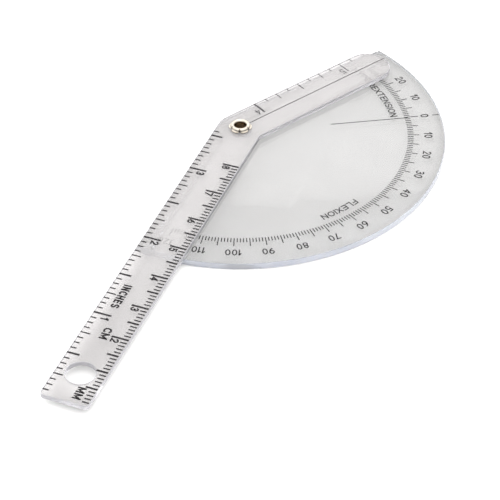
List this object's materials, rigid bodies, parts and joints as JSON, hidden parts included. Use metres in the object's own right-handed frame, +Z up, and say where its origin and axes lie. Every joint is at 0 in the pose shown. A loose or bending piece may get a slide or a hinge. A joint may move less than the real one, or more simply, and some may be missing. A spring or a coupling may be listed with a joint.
{
  "type": "finger goniometer",
  "caption": "Clear plastic finger goniometer: a sector protractor plate and a bent ruler arm with a hairline pointer, turning on a rolled metal eyelet.",
  "frame": {"origin": "centre of the footprint, on the flat underside of the protractor plate", "axes": "+X along the ruler limb of the arm, from its free end towards the pivot; +Z up, out of the printed face"},
  "size_m": [0.1356, 0.0518, 0.0037],
  "materials": {
    "clear_plate": "clear polished sheet with a dark grey printed degree scale",
    "clear_arm": "clear polished sheet with black printed length scales and a hairline",
    "nickel": "bright nickel plate"
  },
  "bodies": {
    "protractor": {"protractor_plate": "clear_plate", "eyelet": "nickel"},
    "arm": {"measuring_arm": "clear_arm"}
  },
  "joints": [
    {"name": "arm_pivot", "type": "hinge", "parent": "protractor", "child": "arm", "pos_m": [0.02609, 0.0201, 0.00215], "axis": [0, 0, -1], "continuous": true}
  ]
}
